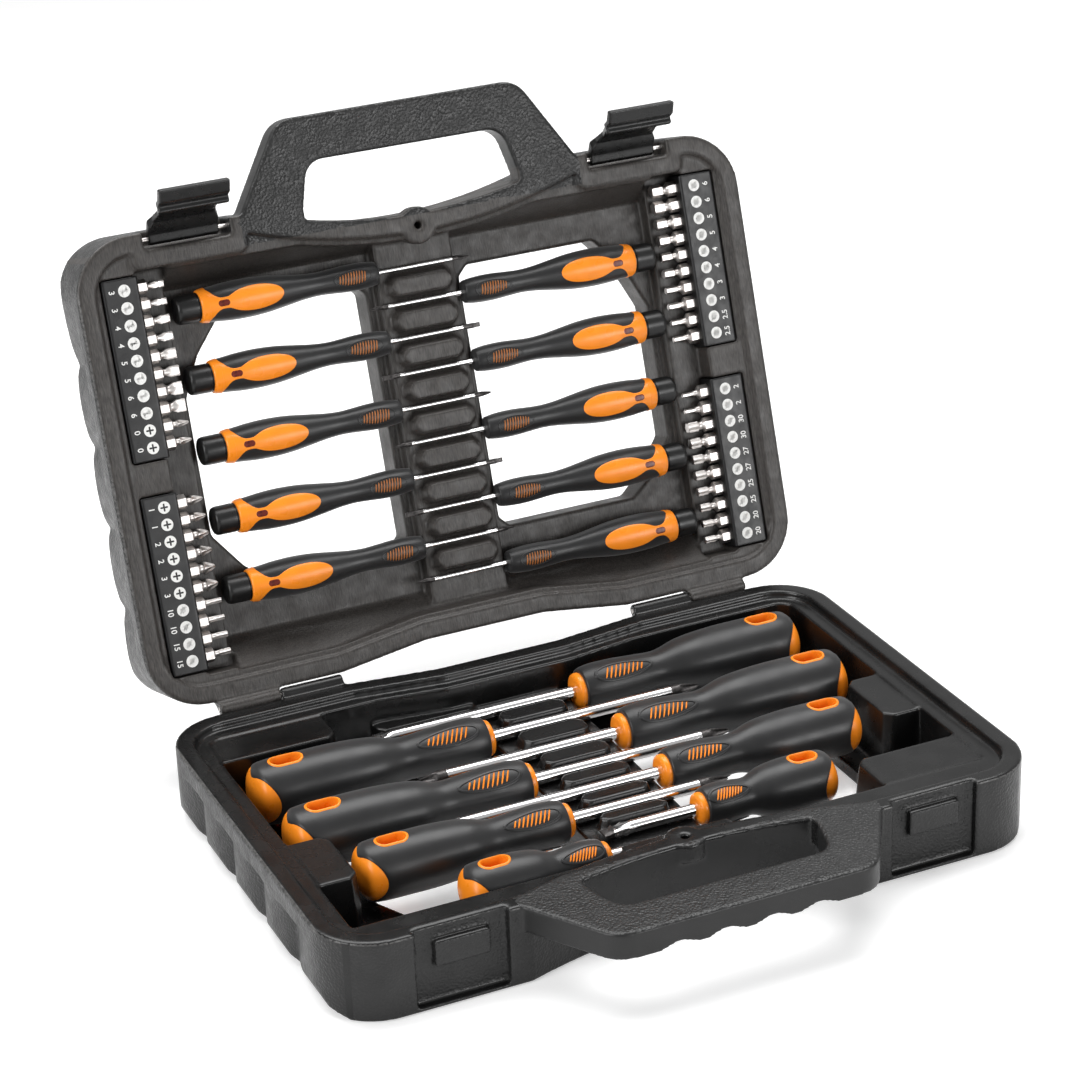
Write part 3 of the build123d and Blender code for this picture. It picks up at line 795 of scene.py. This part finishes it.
def large_grip(length, radius, roll):
    """A grip's sleeve and orange parts, in the driver's own frame, with its rib ovals turned by roll."""
    radius_at = driver_profile(length, radius)
    hole_at = 12.5 + length * 0.05
    half_long = HOLE_HALF_LENGTH * radius / HOLE_GRIP_RADIUS
    half_wide = HOLE_HALF_WIDTH * radius / HOLE_GRIP_RADIUS
    sleeve = new_object("sleeve", *driver_sleeve(length, radius_at))
    core = new_object("core", *driver_core(length, radius_at))
    for one in (sleeve, core):
        outward(one)
        cut_with(one, hole_cutter(hole_at, half_long + HOLE_MARGIN, half_wide + HOLE_MARGIN, radius + 5))
    bulge = length * 0.81 - 1
    half_length, half_width = 3 + length * 0.1, radius * 0.35
    borders, ribs = [], []
    for third in range(3):
        angle = roll + 2 * pi / 3 * third
        border = oval_border(
            radius_at, bulge, half_length, half_width, angle, blunt=0.2, lift=0.5, width=1.8
        )
        borders.append(border)
        field = rib_field(
            radius_at,
            bulge,
            half_length - 1.6,
            half_width - 0.4,
            angle,
            RIBS_IN_OVAL,
            slant=0.5,
            blunt=0.2,
            lift=0.55,
            width=0.9,
        )
        ribs.append(field)
    add_to(sleeve, merged(borders))
    add_to(core, merged([hole_liner(radius_at, hole_at, half_long, half_wide), *ribs]))
    return set_material(even_shading(sleeve), GRIP), set_material(even_shading(core), ORANGE)


def add_to(obj, part):
    """Joins more points and faces, in millimetres, into a piece."""
    extra = new_object("extra", *part)
    outward(extra)
    shape = bmesh.new()
    shape.from_mesh(obj.data)
    shape.from_mesh(extra.data)
    shape.to_mesh(obj.data)
    shape.free()
    bpy.data.objects.remove(extra)
    for polygon in obj.data.polygons:
        polygon.use_smooth = True


# ---- blades and tips

TIP_POINTS = 48


def flat_ring(x, half_width, half_thick):
    """A rounded rectangle round the x axis, wide along y."""
    points = []
    for k in range(TIP_POINTS):
        turn = 2 * pi * k / TIP_POINTS
        s, c = sin(turn), cos(turn)
        scale = 1 / max(abs(s) / half_width, abs(c) / half_thick)
        points.append((x, s * scale, c * scale))
    return points


def lobed_ring(x, radius, root, lobes, sharp=1.0):
    """A ring with lobes, for cross and star tips."""
    points = []
    for k in range(TIP_POINTS):
        turn = 2 * pi * k / TIP_POINTS
        wave = (0.5 + 0.5 * cos(lobes * turn)) ** sharp
        r = root + (radius - root) * wave
        points.append((x, r * sin(turn), r * cos(turn)))
    return points


def hex_ring(x, flats):
    """A hexagon round the x axis, so wide across its flats."""
    points = []
    for k in range(TIP_POINTS):
        turn = 2 * pi * k / TIP_POINTS
        fold = (turn + pi / 6) % (pi / 3) - pi / 6
        r = flats / 2 / cos(fold)
        points.append((x, r * sin(turn), r * cos(turn)))
    return points


def round_ring(x, radius):
    """A circle with as many points as the other tip rings."""
    return ring(x, radius, TIP_POINTS)


# A cross tip: shares of its length, and of the shaft's radius on the lobes and between them.
CROSS_TIP = (
    (0.0, 1.0, 1.0),
    (0.1, 1.0, 0.8),
    (0.3, 0.92, 0.5),
    (0.55, 0.72, 0.34),
    (0.8, 0.5, 0.22),
    (0.93, 0.36, 0.17),
    (1.0, 0.16, 0.12),
)


def cross_tip(x0, x1, radius):
    """Rings of a cross tip from its full round shaft to its blunt point."""
    span = x1 - x0
    return [lobed_ring(x0 + span * t, radius * r, radius * root, 4, 2.2) for t, r, root in CROSS_TIP]


def flat_tip(x0, x1, radius, width):
    """Rings of a flat tip: the shaft flattens, flares and ends square."""
    span = x1 - x0
    return [
        flat_ring(x0 + span * 0.3, radius, radius * 0.72),
        flat_ring(x0 + span * 0.55, width / 2 * 0.97, radius * 0.45),
        flat_ring(x0 + span * 0.8, width / 2, radius * 0.3),
        flat_ring(x1 - 0.15, width / 2, max(0.3, radius * 0.2)),
        flat_ring(x1, width / 2 - 0.1, max(0.25, radius * 0.17)),
    ]


BLADE_HIDDEN = 2.0  # how far a blade starts inside its grip
BLADE_SHARP = 38
NEARLY = 1e-6


def blade_mesh(start, end, radius, dark, flat_width=None):
    """A blade along x, its last stretch dark: with a flat tip of the given width, or a cross tip."""
    dark_from = end - dark
    rings = [round_ring(start - BLADE_HIDDEN, radius), round_ring(dark_from, radius)]
    if flat_width:
        tip_from = end - radius * 4.5
        rings += [round_ring(tip_from, radius), *flat_tip(tip_from, end, radius, flat_width)]
        rings.sort(key=lambda points: points[0][0])
    else:
        tip_from = end - dark * 0.7
        rings += [round_ring(dark_from + 0.05, radius * 0.985), *cross_tip(tip_from, end, radius)]
    obj = outward(new_object("blade", *lofted(rings)))
    if flat_width:
        cut_loop(obj, dark_from)
    set_material(obj, CHROME, TIP)
    for polygon in obj.data.polygons:
        polygon.material_index = 1 if polygon.center.x > dark_from * MM - NEARLY else 0
    return even_shading(obj, BLADE_SHARP)


def cut_loop(obj, x):
    """Adds an edge loop at x, so that a colour can change there."""
    shape = bmesh.new()
    shape.from_mesh(obj.data)
    everything = shape.verts[:] + shape.edges[:] + shape.faces[:]
    bmesh.ops.bisect_plane(shape, geom=everything, plane_co=(x * MM, 0, 0), plane_no=(1, 0, 0))
    shape.to_mesh(obj.data)
    shape.free()


# The widths of the flat tips among the large drivers. The others have cross tips.
FLAT_DRIVERS = {("right", 1): 8.0, ("right", 3): 6.5, ("right", 4): 6.5}
SHAFT_RADIUS = 3.0
FLAT_DARK = 4.5
CROSS_DARK = {1: 15, 2: 15, 3: 15, 4: 12}


def large_blades():
    """Chrome shafts of the large drivers, each with its dark tip."""
    for side in SIDES:
        for number in SCREWDRIVERS:
            name = f"screwdriver_{side}_{number}"
            place = tool_frame(f"{name}_grip", side, BASE_OUT)
            low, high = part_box(f"{name}_grip")
            length = (high.x - low.x) / MM
            tip_low, tip_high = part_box(f"{name}_blade")
            end = ((tip_high.x - low.x) if side == "left" else (high.x - tip_low.x)) / MM
            width = FLAT_DRIVERS.get((side, number))
            dark = FLAT_DARK if width else CROSS_DARK[number]
            blade = blade_mesh(length, end, SHAFT_RADIUS, dark, width)
            blade.name = f"{name}_shaft"
            put(blade, f"{name}_blade", place, replaces=True)


# ---- precision drivers

SLIM = 56
# Half length and half width of the oval border at the front, and of the ribs inside it.
SLIM_BORDER_OVAL = (9.4, 4.5)
SLIM_RIB_OVAL = (8.9, 4.4)
SLIM_RIBS = 10
SLIM_SHAFT_RADIUS = 1.25
SLIM_FLAT_WIDTH = 2.2
SLIM_DARK = 9


def precision_profile(length):
    """The radius of a slim grip along its length: a belly, a waist and a slight swell at the front."""
    return profile(
        [
            (0, 7.75),
            (6, 8.2),
            (14, 8.95),
            (24, 9.2),
            (34, 8.6),
            (44, 7.2),
            (53, 5.95),
            (60, 5.55),
            (67, 5.9),
            (74, 6.4),
            (82, 6.35),
            (length - 3, 5.9),
            (length, 5.3),
        ]
    )


PATCH_MIDDLE, PATCH_HALF_LENGTH, PATCH_HALF_WIDTH = 26.5, 14.0, 6.3
PATCH_BLEND = 1.2


def keyhole_width(x):
    """Half width of the orange patch: a flare from the collar, a neck, then an oval."""
    flare = 2.7 + 8.5 * max(0.0, 1 - (x - 3.2) / 7.5) ** 2.4
    u = (x - PATCH_MIDDLE) / PATCH_HALF_LENGTH
    oval = PATCH_HALF_WIDTH * sqrt(max(0.0, 1 - u * u))
    if x > PATCH_MIDDLE:
        return oval
    apart = abs(flare - oval)
    fillet = 0.25 * (PATCH_BLEND - apart) if apart <= PATCH_BLEND else 0.0
    return max(flare, oval) + fillet


def keyhole_patch(radius_at, angle):
    """The orange patch on the belly, standing a little proud."""
    lift, rows, across = 0.22, 46, 14
    start, end = 3.0, 40.45
    verts, faces = [], []
    for i in range(rows):
        x = start + (end - start) * sin(pi / 2 * i / (rows - 1))
        half = max(0.05, keyhole_width(x))
        for j in range(across + 1):
            share = sin((-1 + 2 * j / across) * pi / 2)
            edge = 1 - max(0.0, (abs(share) - 0.9) / 0.1) ** 2
            height = lift * edge if i < rows - 1 else RIDGE_FOOT
            if abs(share) > 0.999:
                height = -0.35
            verts.append(on_surface(radius_at, x, half * share, angle, height))
    for i in range(rows - 1):
        for j in range(across):
            a = i * (across + 1) + j
            faces.append((a, a + 1, a + across + 2, a + across + 1))
    return verts, faces


def precision_parts(length):
    """The sleeve, the orange parts, the dark red ovals of painted slot shade and the ribs of a slim grip."""
    radius_at = precision_profile(length)
    stations = [(4.2 + (length - 4.7) * k / 44) for k in range(45)]
    rings = [ring(4.0, radius_at(4) - 0.9, SLIM), ring(4.0, radius_at(4) - 0.15, SLIM)]
    rings += [ring(x, radius_at(x), SLIM) for x in stations]
    rings += [ring(length, 4.6, SLIM), ring(length, 2.2, SLIM)]
    sleeve = outward(new_object("sleeve", *lofted(rings)))
    collar_rings = [(0.2, 4.0), (0.0, 7.1), (0.35, 7.62), (1.2, 7.95), (3.8, 8.3), (4.1, 8.0), (4.1, 6.0)]
    orange = outward(new_object("orange", *lofted([ring(x, r, SLIM) for x, r in collar_rings])))
    patches = [keyhole_patch(radius_at, angle) for angle in (0, pi)]
    add_to(orange, merged(patches))
    # No slot is cut: a dark red oval stands on each patch as the slot's painted shade.
    pit = merged([slot_pit(radius_at, 10.6, 2.6, 1.35, sign) for sign in (1, -1)])
    red = outward(new_object("pit", *pit))
    middle = length - 14.0
    borders, ribs = [], []
    for angle in (0, pi):
        border = oval_border(radius_at, middle, *SLIM_BORDER_OVAL, angle, blunt=0.12, lift=0.3, width=1.0)
        borders.append(border)
        field = rib_field(
            radius_at, middle, *SLIM_RIB_OVAL, angle, SLIM_RIBS, slant=0.15, blunt=0.12, lift=0.42, width=0.7
        )
        ribs.append(field)
    add_to(sleeve, merged(borders))
    rib_piece = outward(new_object("ribs", *merged(ribs)))
    for one, look in ((sleeve, GRIP), (orange, ORANGE), (red, SLOT_SHADE), (rib_piece, BROWN)):
        set_material(even_shading(one), look)
    return sleeve, orange, red, rib_piece


def slot_pit(radius_at, x, half_length, half_width, sign):
    """A low red oval in the neck of the orange patch, a little sunken towards its middle: painted shade for a slot
    that is not cut.
    """
    # How far each ring lies outside the oval, and above the grip.
    levels = ((0.25, 0.1), (0.1, 0.3), (-0.2, 0.32), (-0.5, 0.3), (-0.9, 0.28), (-1.25, 0.27))
    rings = []
    for grow, lift in levels:
        points = []
        for px, py in stadium(half_length + grow, half_width + grow, 24):
            r = radius_at(x + px) + lift
            points.append((x + px, py, sign * sqrt(r * r - py * py)))
        rings.append(points)
    return lofted(rings)


def precision_cap_mesh():
    """A turning cap behind a slim grip: a rounded end, and a groove next to the grip."""
    end = [(-11.4, 3.0), (-11.4, 5.4), (-11.1, 6.1), (-10.4, 6.6), (-9.2, 6.85), (-1.4, 6.9)]
    groove = [(-0.9, 6.75), (-0.75, 6.3), (-0.55, 6.3), (-0.45, 6.8), (-0.15, 6.8), (-0.15, 3.0)]
    obj = outward(new_object("cap", *lofted([ring(x, r, SLIM) for x, r in end + groove])))
    return set_material(even_shading(obj), CAP)


SLIM_SLOTS = {"sleeve": "grip_black", "core": "grip_orange", "slot": "grip_black", "ribs": "grip_orange"}


def precision_drivers():
    """The ten slim drivers, all alike but for their tips, which are cross and flat by turns."""
    low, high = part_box("precision_left_1_grip")
    length = (high.x - low.x) / MM
    end = (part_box("precision_left_1_blade")[1].x - low.x) / MM
    parts = precision_parts(length)
    cap = precision_cap_mesh()
    cross = blade_mesh(length, end, SLIM_SHAFT_RADIUS, SLIM_DARK)
    flat = blade_mesh(length, end, SLIM_SHAFT_RADIUS, SLIM_DARK, SLIM_FLAT_WIDTH)
    for side in SIDES:
        for number in range(1, 6):
            name = f"precision_{side}_{number}"
            place = tool_frame(f"{name}_grip", side, LID_OUT)
            for one, (part, slot) in zip(parts, SLIM_SLOTS.items()):
                twin = copy_of(one, f"{name}_{part}")
                put(twin, f"{name}_grip", place, replaces=part == "sleeve")
            put(copy_of(cap, f"{name}_end"), f"{name}_cap", place, replaces=True)
            shaft = copy_of(cross if number % 2 else flat, f"{name}_shaft")
            put(shaft, f"{name}_blade", place, replaces=True)
    for one in (*parts, cap, cross, flat):
        bpy.data.objects.remove(one)


# ---- bits and holders

BIT_FLATS = 6.2
SHANK_END = 17.2
TIP_END = 26.0
BIT_BACK = 12.5  # how far a bit's shank starts inside its holder's inner edge
BIT_HEIGHT = -9.0  # the bits' axes, from the rim of the tray


def pairs(kind, *sizes):
    """Two bits of each (width, label), with one kind of tip."""
    return [(kind, width, label) for width, label in sizes for _ in range(2)]


# The ten bits of each holder, from the hinge to the handle: kind, width and printed size.
BIT_ROWS = {
    ("left", "upper"): pairs("cross", (3.6, "0")) + pairs("flat", (6, "6"), (5, "5"), (4, "4"), (3, "3")),
    ("left", "lower"): pairs("star", (3.3, "15"), (2.8, "10"))
    + pairs("cross", (6, "3"), (5.2, "2"), (4.4, "1")),
    ("right", "upper"): pairs("hex", (2.5, "2.5"), (3, "3"), (4, "4"), (5, "5"), (6, "6")),
    ("right", "lower"): pairs("star", (3.9, "20"), (4.5, "25"), (5.1, "27"), (5.6, "30"))
    + pairs("hex", (2, "2")),
}


def bit_rings(kind, size):
    """Rings of one bit: hexagonal shank, neck, and tip."""
    size = min(size, BIT_FLATS)
    neck = min(max(size * 0.36, 1.5), 2.7)
    rings = [hex_ring(0, BIT_FLATS), hex_ring(SHANK_END, BIT_FLATS)]
    rings += [round_ring(18.1, neck * 1.12), round_ring(18.8, neck)]
    r = size / 2
    if kind == "flat":
        rings += [round_ring(19.6, neck), flat_ring(21.5, r, 1.15), flat_ring(23.5, r, 0.75)]
        rings += [flat_ring(25.8, r, 0.42), flat_ring(TIP_END, r - 0.1, 0.35)]
    elif kind == "cross":
        rings += [round_ring(19.6, neck), *cross_tip(20.2, TIP_END, r)]
    elif kind == "star":
        rings += [round_ring(20, neck), lobed_ring(20.8, r, r * 0.8, 6), lobed_ring(25.7, r, r * 0.76, 6)]
        rings += [lobed_ring(TIP_END, r * 0.9, r * 0.7, 6)]
    else:
        rings += [round_ring(19.8, neck), hex_ring(20.6, size), hex_ring(25.7, size)]
        rings += [hex_ring(TIP_END, size * 0.9)]
    return rings


BIT_PITCH = 8.15
BIT_SHARP = 32
BITS_IN_HOLDER = 10


def holder_rows(side, level):
    """A holder's low and high corners and the places of its ten bits, in tray millimetres."""
    low, high = tray_box(f"bit_holder_{side}_{level}")
    margin = (high.y - low.y - (BITS_IN_HOLDER - 1) * BIT_PITCH) / 2
    return low, high, [low.y + margin + k * BIT_PITCH for k in range(BITS_IN_HOLDER)]


def tray_box(node):
    """A lid node's box in the lid's tray frame, in millimetres."""
    inverse = LID.inverted()
    points = [inverse @ v.co / MM for v in frame["nodes"][node].data.vertices]
    low = Vector([min(p[i] for p in points) for i in range(3)])
    high = Vector([max(p[i] for p in points) for i in range(3)])
    return low, high


def bit_sets():
    """The ten bits of each holder as one piece, since they lift with it."""
    for (side, level), row in BIT_ROWS.items():
        low, high, places = holder_rows(side, level)
        sign = -1 if side == "left" else 1
        inner = high.x if side == "left" else low.x
        start = inner + sign * BIT_BACK
        parts = []
        for (kind, size, _), y in zip(row, places):
            verts, faces = lofted(bit_rings(kind, size))
            moved = [(start - sign * px, y - sign * py, pz + BIT_HEIGHT) for px, py, pz in verts]
            parts.append((moved, faces))
        obj = outward(new_object(f"bits_{side}_{level}_tips", *merged(parts)))
        set_material(even_shading(obj, BIT_SHARP), STEEL)
        put(obj, f"bits_{side}_{level}", LID, replaces=True)


def disc(x, y, z, outer, inner_points):
    """A flat ring from a circle to an inner outline of as many points."""
    n = len(inner_points)
    verts = [(x + outer * cos(2 * pi * k / n), y + outer * sin(2 * pi * k / n), z) for k in range(n)]
    verts += [(x + px, y + py, z) for px, py in inner_points]
    faces = [(k, (k + 1) % n, n + (k + 1) % n, n + k) for k in range(n)]
    return verts, faces


MARK_REACH, MARK_HALF = 1.85, 0.42


def symbol(kind):
    """The outline of a drive symbol, round its middle."""
    if kind == "cross":
        return plus_outline(MARK_REACH, MARK_HALF)
    if kind == "flat":
        points = flat_ring(0, MARK_REACH, MARK_HALF)
    elif kind == "star":
        points = lobed_ring(0, 1.5, 0.85, 6)
    else:
        points = hex_ring(0, 2.9)
    return [(py, pz) for _, py, pz in points]


def plus_outline(reach, half):
    """A plus sign traced in points at even angles."""
    points = []
    for k in range(TIP_POINTS):
        turn = 2 * pi * k / TIP_POINTS
        c, s = cos(turn), sin(turn)
        longest = max(abs(c), abs(s))
        shortest = min(abs(c), abs(s))
        r = min(reach / longest, half / max(shortest, NEARLY))
        points.append((r * c, r * s))
    return points


PRINT_BOLD = 0.06


def number_mesh(text, x, y, z, turn, size):
    """A printed number as flat faces."""
    curve = bpy.data.curves.new("number", "FONT")
    curve.body, curve.size = text, size
    curve.align_x, curve.align_y = "CENTER", "CENTER"
    curve.offset = PRINT_BOLD
    obj = bpy.data.objects.new("number", curve)
    bpy.context.scene.collection.objects.link(obj)
    mesh = bpy.data.meshes.new_from_object(obj)
    spin = Matrix.Translation((x, y, z)) @ Matrix.Rotation(turn, 4, "Z")
    verts = [tuple(spin @ v.co) for v in mesh.vertices]
    faces = [tuple(p.vertices) for p in mesh.polygons]
    bpy.data.objects.remove(obj)
    return verts, faces


PRINT_HEIGHT = 0.04  # how far the print stands above the holder
MARK_SHIFT, MARK_RADIUS = 1.6, 2.9
NUMBER_SHIFT, NUMBER_SIZE = 4.6, 3.9


def holders():
    """The bit holders, with a mark and a size printed beside each bit."""
    for (side, level), row in BIT_ROWS.items():
        node = f"bit_holder_{side}_{level}"
        obj = moulded(node, LID, 0.4, 2)
        set_material(obj, HOLDER)
        put(obj, node, LID, replaces=True)
        low, high, places = holder_rows(side, level)
        middle = (low.x + high.x) / 2
        sign = -1 if side == "left" else 1
        top = high.z + PRINT_HEIGHT
        parts = []
        for (kind, _, label), y in zip(row, places):
            parts.append(disc(middle - sign * MARK_SHIFT, y, top, MARK_RADIUS, symbol(kind)))
            number_x = middle + sign * NUMBER_SHIFT
            parts.append(number_mesh(label, number_x, y, top, sign * pi / 2, NUMBER_SIZE))
        print_piece = new_object(f"{node}_print", *merged(parts), smooth=False)
        set_material(print_piece, WHITE)
        put(print_piece, node, LID)


# ---- camera, light and floor


# The camera as solved from the straight edges of the case in the photo.
CAMERA_PLACE_MM = (-523.46, -1121.41, 716.54)
CAMERA_FORWARD = (0.34970, 0.83019, -0.43416)
CAMERA_RIGHT = (0.91297, -0.40597, -0.04092)
SENSOR_MM, LENS_MM = 36.0, 103.4
SHIFT_X, SHIFT_Y = 0.0557, 0.0423


def camera():
    """The camera at the photo's viewing angle."""
    data = bpy.data.cameras.new("camera")
    obj = bpy.data.objects.new("camera", data)
    bpy.context.scene.collection.objects.link(obj)
    forward = Vector(CAMERA_FORWARD).normalized()
    right = Vector(CAMERA_RIGHT).normalized()
    up = right.cross(forward).normalized()
    matrix = Matrix((right, up, -forward)).transposed().to_4x4()
    matrix.translation = Vector(CAMERA_PLACE_MM) * MM
    obj.matrix_world = matrix
    data.sensor_width = SENSOR_MM
    data.lens = LENS_MM
    data.shift_x, data.shift_y = SHIFT_X, SHIFT_Y
    data.clip_start, data.clip_end = 0.1, 20
    bpy.context.scene.camera = obj


LIGHTS_AIM = (0, 0, 0.08)
WORLD_FILL = 0.2
WORLD_SHINE = 0.6


def softbox(name, place, size, watts):
    """A rectangular area light that looks at the case."""
    data = bpy.data.lights.new(name, "AREA")
    data.shape = "RECTANGLE"
    data.size, data.size_y = size
    data.energy = watts
    obj = bpy.data.objects.new(name, data)
    bpy.context.scene.collection.objects.link(obj)
    obj.location = place
    obj.rotation_mode = "QUATERNION"
    obj.rotation_quaternion = (Vector(LIGHTS_AIM) - Vector(place)).to_track_quat("-Z", "Y")


def lights():
    """Three soft boxes, and a white world: full for the eye, weaker in reflections, faint elsewhere."""
    softbox("top", place=(0.1, 0.45, 1.5), size=(1.9, 1.0), watts=34)
    softbox("left", place=(-1.5, -0.5, 0.9), size=(0.7, 1.2), watts=18)
    softbox("right", place=(1.0, -1.9, 0.6), size=(1.0, 0.8), watts=19)
    world = bpy.data.worlds.new("world")
    bpy.context.scene.world = world
    world.use_nodes = True
    nodes, links = world.node_tree.nodes, world.node_tree.links
    background = nodes["Background"]
    background.inputs["Color"].default_value = (1, 1, 1, 1)
    rays, strongest = nodes.new("ShaderNodeLightPath"), nodes.new("ShaderNodeMath")
    strongest.operation = "MAXIMUM"
    links.new(rays.outputs["Is Camera Ray"], strongest.inputs[0])
    shine = strength_by_ray(nodes, links, rays.outputs["Is Glossy Ray"], WORLD_FILL, WORLD_SHINE)
    links.new(shine, strongest.inputs[1])
    links.new(strongest.outputs[0], background.inputs["Strength"])


FLOOR_REACH_MM = 6000
FLOOR_HEIGHT_MM = -0.4


def floor():
    """A wide flat floor just under the case."""
    corners = [(x * FLOOR_REACH_MM, y * FLOOR_REACH_MM, 0) for x, y in ((-1, -1), (1, -1), (1, 1), (-1, 1))]
    obj = new_object("floor", corners, [(0, 1, 2, 3)], smooth=False)
    obj.location.z = FLOOR_HEIGHT_MM * MM
    set_material(obj, floor_white())


camera()
lights()
floor()
shells()
latches()
pins()
large_grips()
large_blades()
precision_drivers()
bit_sets()
holders()

bpy.context.scene.view_settings.view_transform = "Standard"
